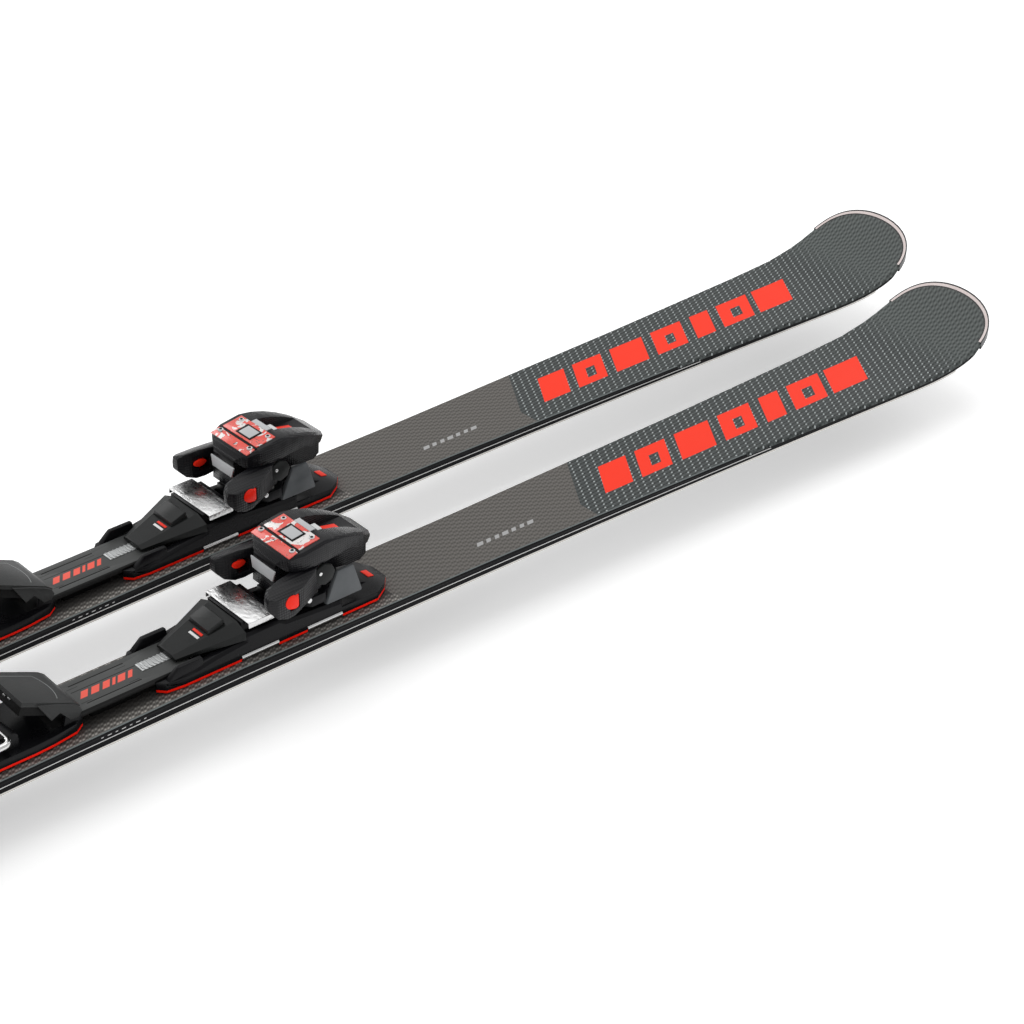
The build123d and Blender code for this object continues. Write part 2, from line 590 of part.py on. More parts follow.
# ---- placing and writing --------------------------------------------------------------------------
def right_ski_parts():
    left_wing = wing()
    nodes = ski_pieces()
    nodes["mounting_tracks"] = binding_tracks()
    nodes["track_screws"] = [track_screw(x, y) for x, y in screw_places()]
    nodes["centre_band"] = [centre_band()]
    nodes["toe_base"] = toe_base()
    nodes["toe_liner"] = toe_liner()
    nodes["toe_rods"] = toe_rods()
    nodes["ramp_cover"] = ramp_cover()
    nodes["lock_button"] = lock_button()
    nodes["gliding_plate"] = gliding_plate()
    nodes["toe_housing"] = toe_housing()
    nodes["wing_left"] = [left_wing]
    nodes["wing_right"] = [flip(left_wing)]
    nodes["roller_left"] = [roller()]
    nodes["roller_right"] = [flip(roller())]
    nodes["wing_pins"] = wing_pins()
    nodes["toe_spring"] = [ribbed_spring((60, 0, TOE_AXIS_Z), (107, 0, TOE_AXIS_Z), SPRING_R, 8)]
    nodes["toe_screw"] = toe_screw()
    nodes["heel_base"] = heel_base()
    nodes["heel_liner"] = heel_liner()
    nodes["heel_housing"] = heel_housing()
    nodes["heel_lever"] = heel_lever()
    nodes["heel_spring"] = [ribbed_spring((-290, 0, 55), (-290, 0, 87), SPRING_R, 6)]
    nodes["brake_pedal"] = brake_pedal()
    nodes["brake_arms"] = brake_arm(-1) + brake_arm(1)
    return nodes


def main():
    os.makedirs("parts", exist_ok=True)
    middle = (TAIL_X + TIP_X + LEFT_AHEAD) / 2
    spots = {
        "right": Location((-middle, -SKI_GAP / 2 - SIDE_SHIFT, LIFT)),
        "left": Location((LEFT_AHEAD - middle, SKI_GAP / 2 - SIDE_SHIFT, LIFT), (0, 0, LEFT_TURN)),
    }
    nodes = right_ski_parts()
    for name, shapes in nodes.items():
        solids = solids_in(*shapes)
        for side, spot in spots.items():
            placed = Compound(children=[solid.moved(spot) for solid in solids])
            export_step(placed, f"parts/{side}_{name}.step")
    print(len(nodes) * len(spots), "nodes written")


main()
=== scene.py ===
# %% [markdown]
# # A pair of alpine skis with bindings
#
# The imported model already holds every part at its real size: two skis, each with a toe unit, a centre
# band and a heel unit. This lesson gives them their looks. It loads that frame, sets a camera and a soft
# studio, builds the shader groups and finishes, and then works through the pieces one by one.

# %% Load the frame
import json
import math

import bpy
from mathutils import Matrix, Vector

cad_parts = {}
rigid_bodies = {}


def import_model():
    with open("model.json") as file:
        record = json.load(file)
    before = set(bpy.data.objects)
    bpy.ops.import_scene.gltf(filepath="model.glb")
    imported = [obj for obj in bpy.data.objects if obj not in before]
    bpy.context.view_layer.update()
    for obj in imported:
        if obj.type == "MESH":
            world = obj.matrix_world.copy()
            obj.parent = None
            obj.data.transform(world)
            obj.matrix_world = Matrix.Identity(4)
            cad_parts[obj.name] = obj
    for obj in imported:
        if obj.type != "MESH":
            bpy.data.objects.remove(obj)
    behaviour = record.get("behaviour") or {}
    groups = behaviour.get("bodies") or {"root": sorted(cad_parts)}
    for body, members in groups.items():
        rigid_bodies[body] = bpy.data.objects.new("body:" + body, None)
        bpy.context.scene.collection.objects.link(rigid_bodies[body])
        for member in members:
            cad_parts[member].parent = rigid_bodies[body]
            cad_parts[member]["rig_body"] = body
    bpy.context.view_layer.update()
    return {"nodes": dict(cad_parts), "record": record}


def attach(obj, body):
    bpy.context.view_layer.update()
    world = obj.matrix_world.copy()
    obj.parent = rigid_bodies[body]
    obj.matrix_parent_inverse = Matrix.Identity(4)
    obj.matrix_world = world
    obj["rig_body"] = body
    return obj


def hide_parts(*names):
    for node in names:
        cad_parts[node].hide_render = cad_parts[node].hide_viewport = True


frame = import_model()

nodes = frame["nodes"]

# %% [markdown]
# ## One ski's own ruler
#
# The skis are long and thin, and everything on them is easier to place from the waist, which is the
# narrowest point, and from the running base. The record keeps a mount at exactly that point of each ski,
# and the direction in which its toe unit slides. The left ski points outwards by almost a degree.

# %% Origin and direction of each ski
SIDES = ("right", "left")
record = frame["record"]
mount_place = {mount["name"]: Vector(mount["pos_m"]) for mount in record["mounts"]}
slide_axis = {joint["name"]: joint["axis"] for joint in record["behaviour"]["joints"]}
ORIGIN = {side: mount_place[side + "_running_face"] for side in SIDES}
TURN = {side: math.atan2(slide_axis[side + "_toe_slide"][1], slide_axis[side + "_toe_slide"][0])
        for side in SIDES}
THICK_AT_WAIST = 14.6       # mm
THINNER_PER_MM = 7.4 / 761  # towards both ends
ON_RIGHT = Matrix.Translation(ORIGIN["right"])
TO_LEFT = Matrix.Translation(ORIGIN["left"]) @ Matrix.Rotation(TURN["left"], 4, "Z") @ ON_RIGHT.inverted()


def spot(x, y, z):
    """A place in millimetres on the right ski, as metres in the room."""
    return ORIGIN["right"] + Vector((x, y, z)) / 1000


print("origins", {side: tuple(round(v, 4) for v in ORIGIN[side]) for side in SIDES})

# %% [markdown]
# ## Camera
#
# A long lens from behind and to the right looks down the skis towards the tips. Its place is given on
# the same ruler, midway between the skis, so it stays with the object if the model changes.

# %% Camera
CAMERA_YAW = 0.87159        # radians from the ski's direction towards the left
CAMERA_PITCH = 0.55268      # radians below the horizon
CAMERA_LENS = 85.67
CAMERA_SPOT = (-856.15, -1396.37, 1143.87)

camera_data = bpy.data.cameras.new("camera")
camera_data.lens = CAMERA_LENS
camera_data.sensor_width = 36.0
camera = bpy.data.objects.new("camera", camera_data)
bpy.context.scene.collection.objects.link(camera)
camera.location = spot(*CAMERA_SPOT)
look = Vector((math.cos(CAMERA_YAW) * math.cos(CAMERA_PITCH),
               math.sin(CAMERA_YAW) * math.cos(CAMERA_PITCH), -math.sin(CAMERA_PITCH)))
camera.rotation_euler = look.to_track_quat("-Z", "Y").to_euler()
bpy.context.scene.camera = camera
print("camera at", tuple(round(v, 3) for v in camera.location))

# %% [markdown]
# ## Studio
#
# Glossy black things show their shape best in a large white surround. A pale floor, a white world and
# three big soft panels give the black plastics long gentle highlights and a faint shadow underneath.

# %% Floor, world and lights
def deselect():
    bpy.ops.object.select_all(action="DESELECT")


deselect()
bpy.ops.mesh.primitive_plane_add(size=40, location=(0, 0, -0.0005))
floor = bpy.context.object
floor.name = "floor"

SKY_STRENGTH = 0.62
world = bpy.data.worlds.new("studio")
bpy.context.scene.world = world
world.use_nodes = True
world.node_tree.nodes["Background"].inputs["Color"].default_value = (1.0, 1.0, 1.0, 1.0)
world.node_tree.nodes["Background"].inputs["Strength"].default_value = SKY_STRENGTH
bpy.context.scene.view_settings.view_transform = "Standard"


def panel(name, place, aim, size, power):
    """A large soft light that faces a point."""
    data = bpy.data.lights.new(name, "AREA")
    data.shape = "RECTANGLE"
    data.size, data.size_y = size
    data.energy = power
    lamp = bpy.data.objects.new(name, data)
    bpy.context.scene.collection.objects.link(lamp)
    lamp.location = place
    lamp.rotation_euler = (Vector(aim) - Vector(place)).to_track_quat("-Z", "Y").to_euler()


# name, place, aim, size, power
panel("top_panel", (0.3, 0.5, 2.6), (0.1, 0, 0), (3.2, 2.4), 26)
panel("left_panel", (-0.4, 2.4, 1.5), (0, 0, 0.05), (2.4, 1.0), 15)
panel("tip_panel", (2.6, 0.4, 1.4), (0.3, 0, 0.05), (1.6, 1.0), 10)
lamps = sorted(item.name for item in bpy.context.scene.objects if item.type == "LIGHT")
print("studio", lamps, "over", floor.name)

# %% [markdown]
# ## Shader groups
#
# Several finishes need the same few effects, so each effect is a node group with named sockets, built
# once and used by name. Writing node trees link by link is long, so a small class and four functions
# come first: they make a node, connect its inputs to sockets or plain numbers, and hand back its output.

# %% Tools for building groups
class Group:
    """A shader node group under construction, with short calls for what it needs most."""

    def __init__(self, name, inputs, outputs):
        self.tree = bpy.data.node_groups.new(name, "ShaderNodeTree")
        for socket, kind, value in inputs:
            made = self.tree.interface.new_socket(socket, in_out="INPUT", socket_type=kind)
            made.default_value = value
        for socket in outputs:
            self.tree.interface.new_socket(socket, in_out="OUTPUT", socket_type="NodeSocketFloat")
        self.start = self.tree.nodes.new("NodeGroupInput")
        self.end = self.tree.nodes.new("NodeGroupOutput")
        print("group", name, "gives", outputs)

    def value(self, name):
        return self.start.outputs[name]

    def give(self, name, socket):
        self.tree.links.new(socket, self.end.inputs[name])

    def math(self, operation, a, b=None, c=None):
        return math_node(self.tree, operation, a, b, c)


def connect(tree, source, target):
    """Links a socket, or sets the value when the source is a plain number or colour."""
    if isinstance(source, (int, float, tuple)):
        target.default_value = source
    else:
        tree.links.new(source, target)


def math_node(tree, operation, a, b=None, c=None):
    node = tree.nodes.new("ShaderNodeMath")
    node.operation = operation
    for index, source in enumerate((a, b, c)):
        if source is not None:
            connect(tree, source, node.inputs[index])
    return node.outputs[0]


def mixed(tree, factor, first, second):
    """A colour mix of two colours or sockets; colours are given as three numbers."""
    node = tree.nodes.new("ShaderNodeMix")
    node.data_type = "RGBA"
    connect(tree, factor, node.inputs["Factor"])
    for source, index in ((first, 6), (second, 7)):
        connect(tree, (*source, 1.0) if isinstance(source, tuple) else source, node.inputs[index])
    return node.outputs[2]


def use_group(tree, name, **values):
    node = tree.nodes.new("ShaderNodeGroup")
    node.node_tree = bpy.data.node_groups[name]
    for socket, source in values.items():
        connect(tree, source, node.inputs[socket.replace("_", " ")])
    return node


print("group tools ready")

# %% [markdown]
# ### The ruler
#
# `ski_ruler` turns Object coordinates into millimetres along, across and above one ski. An unwrapped and
# painted sheet could carry the print too, but a ruler keeps every mark at a place that can be read off.

# %% Group: position on a ski in millimetres
ruler = Group("ski_ruler", [("Origin", "NodeSocketVector", (0, 0, 0)), ("Turn", "NodeSocketFloat", 0.0)],
              ("Along", "Across", "Up"))
coordinates = ruler.tree.nodes.new("ShaderNodeTexCoord")
less = ruler.tree.nodes.new("ShaderNodeVectorMath")
less.operation = "SUBTRACT"
ruler.tree.links.new(coordinates.outputs["Object"], less.inputs[0])
ruler.tree.links.new(ruler.value("Origin"), less.inputs[1])
scaled = ruler.tree.nodes.new("ShaderNodeVectorMath")
scaled.operation = "SCALE"
scaled.inputs["Scale"].default_value = 1000.0
ruler.tree.links.new(less.outputs[0], scaled.inputs[0])
squared = ruler.tree.nodes.new("ShaderNodeVectorRotate")
squared.rotation_type = "Z_AXIS"
ruler.tree.links.new(scaled.outputs[0], squared.inputs["Vector"])
ruler.tree.links.new(ruler.math("MULTIPLY", ruler.value("Turn"), -1.0), squared.inputs["Angle"])
parts = ruler.tree.nodes.new("ShaderNodeSeparateXYZ")
ruler.tree.links.new(squared.outputs[0], parts.inputs[0])
for socket, axis in (("Along", "X"), ("Across", "Y"), ("Up", "Z")):
    ruler.give(socket, parts.outputs[axis])

# %% [markdown]
# ### The embossed grid
#
# The top sheet is pressed with a slanted grid whose columns are staggered. `slanted_grid` shears the
# ruler, numbers the columns, and gives the distance from each cell's middle and a weave of two waves.

# %% Group: the slanted embossed grid
DOT_SQUEEZE = 1.55          # a dot is this much narrower along the ski than across
grid = Group("slanted_grid",
             [("Along", "NodeSocketFloat", 0.0), ("Across", "NodeSocketFloat", 0.0),
              ("Slant", "NodeSocketFloat", 0.56), ("Column", "NodeSocketFloat", 8.4),
              ("Row", "NodeSocketFloat", 5.0), ("Stagger", "NodeSocketFloat", 0.5)],
             ("Dot", "Weave"))
sheared = grid.math("SUBTRACT", grid.value("Along"),
                    grid.math("MULTIPLY", grid.value("Across"), grid.value("Slant")))
column = grid.math("DIVIDE", sheared, grid.value("Column"))
number = grid.math("FLOOR", column)
row = grid.math("ADD", grid.math("DIVIDE", grid.value("Across"), grid.value("Row")),
                grid.math("MULTIPLY", number, grid.value("Stagger")))
u = grid.math("SUBTRACT", grid.math("FRACT", column), 0.5)
v = grid.math("SUBTRACT", grid.math("FRACT", row), 0.5)
spread = grid.math("SQRT", grid.math("ADD", grid.math("POWER", grid.math("MULTIPLY", u, DOT_SQUEEZE), 2.0),
                                     grid.math("POWER", v, 2.0)))
grid.give("Dot", spread)
wave_u = grid.math("SINE", grid.math("MULTIPLY", column, 2 * math.pi))
wave_v = grid.math("SINE", grid.math("MULTIPLY", row, 2 * math.pi))
grid.give("Weave", grid.math("MULTIPLY", wave_u, wave_v))

# %% [markdown]
# ### Print
#
# Every printed mark is made of slanted blocks. `block` is one of them: it measures how deep a place lies
# inside the block and clamps that to a mask with a slightly soft edge.

# %% Group: one slanted block of print
block = Group("block",
              [("Along", "NodeSocketFloat", 0.0), ("Across", "NodeSocketFloat", 0.0),
               ("Middle", "NodeSocketFloat", 0.0), ("Half Width", "NodeSocketFloat", 10.0),
               ("Level", "NodeSocketFloat", 0.0), ("Half Height", "NodeSocketFloat", 20.0),
               ("Slant", "NodeSocketFloat", 0.65), ("Soft", "NodeSocketFloat", 0.4)],
              ("Mask",))
above = block.math("SUBTRACT", block.value("Across"), block.value("Level"))
tilted = block.math("SUBTRACT", block.value("Along"), block.math("MULTIPLY", block.value("Slant"), above))
side_way = block.math("SUBTRACT", block.value("Half Width"),
                      block.math("ABSOLUTE", block.math("SUBTRACT", tilted, block.value("Middle"))))
up_way = block.math("SUBTRACT", block.value("Half Height"), block.math("ABSOLUTE", above))
inside = block.math("DIVIDE", block.math("MINIMUM", side_way, up_way), block.value("Soft"))
clamped = block.tree.nodes.new("ShaderNodeClamp")
block.tree.links.new(inside, clamped.inputs[0])
block.give("Mask", clamped.outputs[0])

# %% [markdown]
# ### Grain
#
# Moulded plastic is never quite smooth or quite even. `fine_grain` gives a fine height for the relief and
# a broad slow tone for colour and gloss.

# %% Group: fine moulded grain, as a height
BROAD_SCALE = 40.0
grain = Group("fine_grain", [("Size", "NodeSocketFloat", 900.0)], ("Height", "Tone"))
where = grain.tree.nodes.new("ShaderNodeTexCoord")
noise = grain.tree.nodes.new("ShaderNodeTexNoise")
noise.inputs["Detail"].default_value = 3.0
grain.tree.links.new(where.outputs["Object"], noise.inputs["Vector"])
grain.tree.links.new(grain.value("Size"), noise.inputs["Scale"])
grain.give("Height", noise.outputs["Fac"])
broad = grain.tree.nodes.new("ShaderNodeTexNoise")
broad.inputs["Scale"].default_value = BROAD_SCALE
grain.tree.links.new(where.outputs["Object"], broad.inputs["Vector"])
grain.give("Tone", broad.outputs["Fac"])

# %% [markdown]
# ## Finishes
#
# Every finish is one Principled shader. Numbers that are the same all over sit on the shader's own
# sockets, and only what varies is linked. The functions below make the three families that most pieces
# belong to: moulded plastic, plastic with a pattern of pressed cells, and drawn or hammered metal.

# %% Tools for materials
def new_material(name, colour, roughness, metallic=0.0, specular=0.5):
    material = bpy.data.materials.new(name)
    material.use_nodes = True
    tree = material.node_tree
    shader = tree.nodes["Principled BSDF"]
    shader.inputs["Base Color"].default_value = (*colour, 1.0)
    shader.inputs["Roughness"].default_value = roughness
    shader.inputs["Metallic"].default_value = metallic
    shader.inputs["Specular IOR Level"].default_value = specular
    return material, tree, shader


def on_ski(tree, side):
    """Millimetres along, across and above one ski."""
    at = use_group(tree, "ski_ruler", Origin=tuple(ORIGIN[side]), Turn=TURN[side])
    return at.outputs["Along"], at.outputs["Across"], at.outputs["Up"]


def facing(tree, axis):
    """How much the surface faces along one axis, whichever way round."""
    surface = tree.nodes.new("ShaderNodeNewGeometry")
    split = tree.nodes.new("ShaderNodeSeparateXYZ")
    tree.links.new(surface.outputs["Normal"], split.inputs[0])
    return math_node(tree, "ABSOLUTE", split.outputs[axis])


def rising(tree, value, start, length):
    """0 before start, 1 from start + length on, with a softened end."""
    share = math_node(tree, "DIVIDE", math_node(tree, "SUBTRACT", value, start), length)
    return math_node(tree, "SMOOTH_MIN", 1.0, math_node(tree, "MAXIMUM", 0.0, share), 0.05)


def thickness(tree, along):
    """The ski's thickness at a place, in millimetres."""
    return math_node(tree, "MULTIPLY_ADD", math_node(tree, "ABSOLUTE", along), -THINNER_PER_MM, THICK_AT_WAIST)


def within(tree, value, middle, half):
    """1 where a value is within half of the middle."""
    off = math_node(tree, "ABSOLUTE", math_node(tree, "SUBTRACT", value, middle))
    return math_node(tree, "LESS_THAN", off, half)


def both(tree, *masks):
    total = masks[0]
    for mask in masks[1:]:
        total = math_node(tree, "MULTIPLY", total, mask)
    return total


def without(tree, mask):
    return math_node(tree, "SUBTRACT", 1.0, mask)


def any_block(tree, x, y, places, half_height, level):
    """One mask for a row of slanted blocks, each given by its middle and half width."""
    total = None
    for middle, half in places:
        one = use_group(tree, "block", Along=x, Across=y, Middle=float(middle), Half_Width=float(half),
                        Level=float(level), Half_Height=float(half_height)).outputs[0]
        total = one if total is None else math_node(tree, "MAXIMUM", total, one)
    return total


def bump(tree, shader, height, distance, strength=1.0):
    node = tree.nodes.new("ShaderNodeBump")
    node.inputs["Distance"].default_value = distance
    node.inputs["Strength"].default_value = strength
    connect(tree, height, node.inputs["Height"])
    tree.links.new(node.outputs[0], shader.inputs["Normal"])


def moulded(name, dark, light, roughness, grain_size=900.0, depth=0.00006):
    """A moulded plastic: two close tones, and a grain that catches the light."""
    material, tree, shader = new_material(name, dark, roughness, specular=0.15)
    fine = use_group(tree, "fine_grain", Size=grain_size)
    tree.links.new(mixed(tree, fine.outputs["Tone"], dark, light), shader.inputs["Base Color"])
    rough = math_node(tree, "MULTIPLY_ADD", fine.outputs["Tone"], 0.12, roughness - 0.06)
    tree.links.new(rough, shader.inputs["Roughness"])
    bump(tree, shader, fine.outputs["Height"], depth)
    return material


def cell_textured(name, colour, roughness, cells, distance):
    """A moulded plastic with a fine pattern of cells pressed into it."""
    material, tree, shader = new_material(name, colour, roughness, specular=0.26)
    where = tree.nodes.new("ShaderNodeTexCoord")
    pattern = tree.nodes.new("ShaderNodeTexVoronoi")
    pattern.inputs["Scale"].default_value = cells
    pattern.inputs["Randomness"].default_value = 0.12
    tree.links.new(where.outputs["Object"], pattern.inputs["Vector"])
    light = tuple(1.9 * part for part in colour)
    tree.links.new(mixed(tree, pattern.outputs["Distance"], light, colour), shader.inputs["Base Color"])
    bump(tree, shader, pattern.outputs["Distance"], distance)
    return material


def metal(name, colour, roughness, stretch, scale, distance, metallic=1.0):
    """A drawn or hammered metal: noise stretched along the piece."""
    material, tree, shader = new_material(name, colour, roughness, metallic)
    where = tree.nodes.new("ShaderNodeTexCoord")
    mapping = tree.nodes.new("ShaderNodeMapping")
    mapping.inputs["Scale"].default_value = stretch
    tree.links.new(where.outputs["Object"], mapping.inputs["Vector"])
    noise = tree.nodes.new("ShaderNodeTexNoise")
    noise.inputs["Scale"].default_value = scale
    noise.inputs["Detail"].default_value = 2.0
    tree.links.new(mapping.outputs[0], noise.inputs["Vector"])
    rough = math_node(tree, "MULTIPLY_ADD", noise.outputs["Fac"], 0.25, roughness - 0.1)
    tree.links.new(rough, shader.inputs["Roughness"])
    bump(tree, shader, noise.outputs["Fac"], distance)
    return material


print("three families: moulded, cell_textured, metal")

# %% [markdown]
# ### Plastics and metals
#
# One line for each finish. Blacks differ slightly from piece to piece, because they come from different
# moulds and batches; one black for everything would flatten the binding into a single shape.

# %% Plastics and metals
BLACK = (0.004, 0.004, 0.005)
plain = [
    moulded("binding_black", (0.003, 0.003, 0.004), (0.006, 0.006, 0.007), 0.28),
    cell_textured("wing_black", BLACK, 0.30, 420, 0.0005),
    cell_textured("hood_black", (0.005, 0.005, 0.006), 0.24, 520, 0.0003),
    moulded("track_black", (0.004, 0.004, 0.004), (0.008, 0.008, 0.008), 0.5),
    moulded("base_black", BLACK, (0.008, 0.008, 0.009), 0.3),
    moulded("groove_black", (0.003, 0.003, 0.003), (0.006, 0.006, 0.006), 0.5),
    moulded("cover_grey", (0.007, 0.008, 0.008), (0.013, 0.014, 0.014), 0.32),
    moulded("button_grey", (0.020, 0.021, 0.021), (0.030, 0.031, 0.031), 0.30),
    moulded("lever_grey", (0.030, 0.031, 0.032), (0.042, 0.043, 0.044), 0.42),
    moulded("satin_grey", (0.046, 0.050, 0.054), (0.150, 0.158, 0.165), 0.22, 500, 0.00003),
    moulded("window_grey", (0.46, 0.47, 0.48), (0.54, 0.55, 0.56), 0.3, 400, 0.00002),
    moulded("liner_red", (1.00, 0.010, 0.002), (1.00, 0.014, 0.003), 0.35),
    moulded("roller_red", (0.90, 0.020, 0.008), (0.95, 0.030, 0.012), 0.28),
    moulded("mark_red", (0.80, 0.03, 0.015), (0.86, 0.04, 0.02), 0.4, 400, 0.00001),
    moulded("mark_white", (0.70, 0.70, 0.70), (0.78, 0.78, 0.78), 0.4, 400, 0.00001),
    moulded("indicator_white", (0.62, 0.63, 0.63), (0.72, 0.73, 0.73), 0.3, 400, 0.00002),
    metal("rod_steel", (0.62, 0.62, 0.62), 0.22, (0.05, 1, 1), 1500, 0.00002),
    metal("pin_steel", (0.50, 0.50, 0.50), 0.35, (1, 1, 0.05), 900, 0.00002),
    metal("screw_steel", (0.45, 0.45, 0.45), 0.35, (1, 1, 1), 700, 0.00002),
    metal("spring_steel", (0.40, 0.40, 0.42), 0.3, (1, 1, 1), 900, 0.00002),
    metal("wire_steel", (0.66, 0.66, 0.66), 0.2, (0.2, 1, 1), 600, 0.00002),
    metal("edge_steel", (0.62, 0.60, 0.57), 0.45, (0.02, 1, 1), 1200, 0.00003, metallic=0.45),
    metal("plate_steel", (0.66, 0.66, 0.66), 0.26, (1, 0.6, 1), 300, 0.0005),
    metal("ribbed_window", (0.46, 0.47, 0.47), 0.34, (1, 0.1, 1), 700, 0.00003, metallic=0.7),
    metal("wood_core", (0.6, 0.45, 0.3), 0.6, (0.02, 1, 1), 500, 0.00004, metallic=0.0),
]
# the frame brings materials of the same names, so a number may follow the name of a new one
FINISH = {material.name.split(".")[0]: material for material in plain}
print(len(FINISH), "plain finishes")

# %% [markdown]
# ### Side wall
#
# Black, with a fine white line halfway up that follows the ski as it gets thinner, and a short row of
# dashes above it behind the binding's middle. The line stops where the shovel begins.

# %% Side wall finish
WALL_LINE_LEVEL = 0.53      # share of the ski's thickness
WALL_LINE_HALF = 0.38
WALL_LINE_END = 590.0
WALL_DASHES = [(-128 + 6.5 * i, 2.0 if i % 2 else 1.2) for i in range(7)]
WALL_DASH_UP = 10.3
WALL_DASH_HALF = 0.55


def side_wall_finish(side):
    material, tree, shader = new_material("side_wall_" + side, BLACK, 0.35, specular=0.08)
    along, _, up = on_ski(tree, side)
    level = math_node(tree, "MULTIPLY", thickness(tree, along), WALL_LINE_LEVEL)
    line = both(tree, within(tree, up, level, WALL_LINE_HALF),
                math_node(tree, "LESS_THAN", along, WALL_LINE_END))
    dashes = any_block(tree, along, up, WALL_DASHES, WALL_DASH_HALF, WALL_DASH_UP)
    light = math_node(tree, "MAXIMUM", line, dashes)
    fine = use_group(tree, "fine_grain", Size=500.0)
    tree.links.new(mixed(tree, light, BLACK, (0.66, 0.66, 0.65)), shader.inputs["Base Color"])
    bump(tree, shader, fine.outputs["Height"], 0.00002)
    return material


for side in SIDES:
    FINISH["side_walls " + side] = side_wall_finish(side)
print("side walls", [FINISH["side_walls " + side].name for side in SIDES])

# %% [markdown]
# ### Top sheet
#
# The whole printed design lies in one finish. The front field has light dots on a dark weave, the rear
# field warm grey lozenges, and they meet on a slanted line. Beside the binding the middle of the sheet is
# painted nearly black as shade from the binding, and painted highlights lie on its scales at the edge; a
# painted highlight also runs along the top of the shoulder. Large slanted blocks, some with a slit, stand
# on the shovel, and a row of small dashes ahead of the binding. The relief stops under the print.

# %% Top sheet finish
BLOCKS = [(441, 17), (488, 19), (541, 22), (596, 21), (643, 13), (690, 22), (744, 24)]
BLOCK_HALF_HEIGHT = 20.0
SLITS = [(488, 6), (596, 6), (690, 7)]
SLIT_HALF_HEIGHT = 8.0
SLIT_LEVEL = -2.0
DASHES = [(270 + 9.5 * i, 2.6 if i % 3 else 3.6) for i in range(7)]
DASH_HALF_HEIGHT = 2.6
DASH_LEVEL = -14.3
DOT_RADIUS = 0.20
NEAR_TIP = (815.0, 40.0)    # where the dots fade out, and over what length
FIELD_EDGE = 381.0          # where the two fields meet
FIELD_LEAN = 0.62
FIELD_CORNER = 20.0
# painted shade beside the binding: where its middle lies along the ski, and half its length
BINDING_SHADE_MIDDLE = -92.0
BINDING_SHADE_HALF = 255.0
# the painted highlights on the edge scales stop here
PAINTED_GLINT_END = 165.0
SHEET_EDGE = (26.0, 11.0)   # where the edge zone starts across the ski, and its width
# a painted highlight along the top of the shoulder: how far below the top it reaches, and where it ends
RIM_HIGHLIGHT_DEPTH = 0.75
RIM_HIGHLIGHT_END = 600.0
SHOULDER_END = 560.0        # the shoulder is black up to here


def front_field(tree, x, y):
    cells = use_group(tree, "slanted_grid", Along=x, Across=y, Column=8.4, Row=5.0, Stagger=0.45)
    near_tip = rising(tree, x, *NEAR_TIP)
    dot = both(tree, math_node(tree, "LESS_THAN", cells.outputs["Dot"], DOT_RADIUS), without(tree, near_tip))
    weave = math_node(tree, "MULTIPLY_ADD", cells.outputs["Weave"], 0.5, 0.5)
    body = mixed(tree, weave, (0.016, 0.019, 0.019), (0.082, 0.092, 0.091))
    tip = mixed(tree, weave, (0.036, 0.042, 0.041), (0.140, 0.155, 0.150))
    return mixed(tree, dot, mixed(tree, near_tip, body, tip), (0.36, 0.39, 0.39)), weave


def rear_field(tree, x, y):
    cells = use_group(tree, "slanted_grid", Along=x, Across=y, Column=5.6, Row=5.4, Stagger=0.5)
    scale = math_node(tree, "MULTIPLY_ADD", cells.outputs["Weave"], 0.5, 0.5)
    field = mixed(tree, scale, (0.062, 0.057, 0.052), (0.150, 0.141, 0.130))
    to_edge = rising(tree, math_node(tree, "ABSOLUTE", y), *SHEET_EDGE)
    # painted shade: the middle of the sheet beside the binding is darkened towards black, as shade from the
    # binding
    beside = both(tree, within(tree, x, BINDING_SHADE_MIDDLE, BINDING_SHADE_HALF), without(tree, to_edge))
    field = mixed(tree, math_node(tree, "MULTIPLY", beside, 0.72), field, (0.010, 0.010, 0.010))
    # painted highlight: the lighter lozenges near the edge are made lighter still, as if they caught the light
    painted_glint = both(tree, math_node(tree, "POWER", scale, 3.0), to_edge,
                  math_node(tree, "LESS_THAN", x, PAINTED_GLINT_END))
    return mixed(tree, painted_glint, field, (0.42, 0.40, 0.37)), scale


